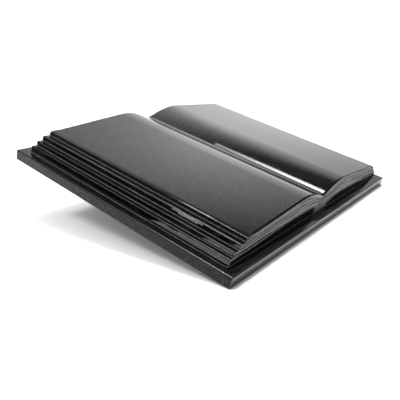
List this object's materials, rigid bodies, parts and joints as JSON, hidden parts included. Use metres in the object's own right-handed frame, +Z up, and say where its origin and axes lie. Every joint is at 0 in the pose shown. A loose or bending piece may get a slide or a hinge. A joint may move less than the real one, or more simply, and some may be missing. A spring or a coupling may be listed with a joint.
{
  "type": "granite book memorial",
  "caption": "Open book grave memorial of polished black stone, with stepped page edges and blank curved pages, leaning on a wedge-shaped stone rest.",
  "frame": {"origin": "on the ground, under the middle of the bounding box of the book and its rest", "axes": "+X to the reader's right across the open pages, +Y away from the reader towards the book's raised head, +Z up"},
  "size_m": [0.4, 0.2936, 0.1095],
  "materials": {
    "polished_black_granite": "mirror polished pages, panels and cover ledge, with honed grey page edges and cover edges",
    "honed_black_granite": "honed, dull dark grey"
  },
  "bodies": {
    "root": {"granite_book": "polished_black_granite", "wedge_rest": "honed_black_granite"}
  },
  "joints": []
}
